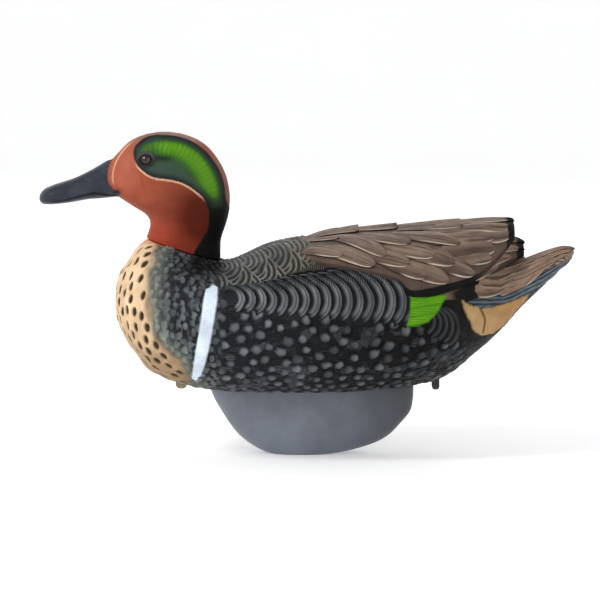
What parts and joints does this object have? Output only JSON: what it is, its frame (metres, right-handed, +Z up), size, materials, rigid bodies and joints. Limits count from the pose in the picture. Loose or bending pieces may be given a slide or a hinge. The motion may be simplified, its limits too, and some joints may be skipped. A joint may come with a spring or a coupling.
{
  "type": "floating duck decoy",
  "caption": "Hollow floating duck decoy with a swivelling head, moulded feather relief, a ballasted drop keel and tie eyes under the hull for an anchor line.",
  "frame": {"origin": "on the ground under the centre of the bounding box, at the flat foot of the keel", "axes": "+Y from bill to tail, +X to the duck's left side, +Z up"},
  "size_m": [0.1414, 0.3306, 0.2006],
  "materials": {
    "body_paint": "matte",
    "head_paint": "matte",
    "keel_plastic": "satin",
    "eye_glass": "gloss",
    "front_eye_plastic": "satin",
    "rear_eye_plastic": "satin",
    "nylon": "satin",
    "steel": "satin",
    "rubber": "matte",
    "ballast": "matte"
  },
  "bodies": {
    "body": {"body_shell": "body_paint", "bottom_plate": "body_paint", "neck_bush": "nylon", "friction_ring": "rubber", "keel_shell": "keel_plastic", "keel_cap": "keel_plastic", "keel_seal": "rubber", "ballast_bar": "ballast", "keel_screw_1": "steel", "keel_screw_2": "steel", "keel_screw_3": "steel", "keel_screw_4": "steel", "front_line_eye": "front_eye_plastic", "rear_line_eye": "rear_eye_plastic", "front_eye_nut": "steel", "rear_eye_nut": "steel"},
    "head": {"head_shell": "head_paint", "left_eye": "eye_glass", "right_eye": "eye_glass", "neck_plug": "nylon", "bolt_washer": "steel", "spring_washer": "steel", "head_bolt": "steel"}
  },
  "joints": [
    {"name": "head_swivel", "type": "hinge", "parent": "body", "child": "head", "pos_m": [0, -0.0771, 0.1276], "axis": [0, 0.2971, 0.9549], "range_deg": [-60, 60]}
  ]
}
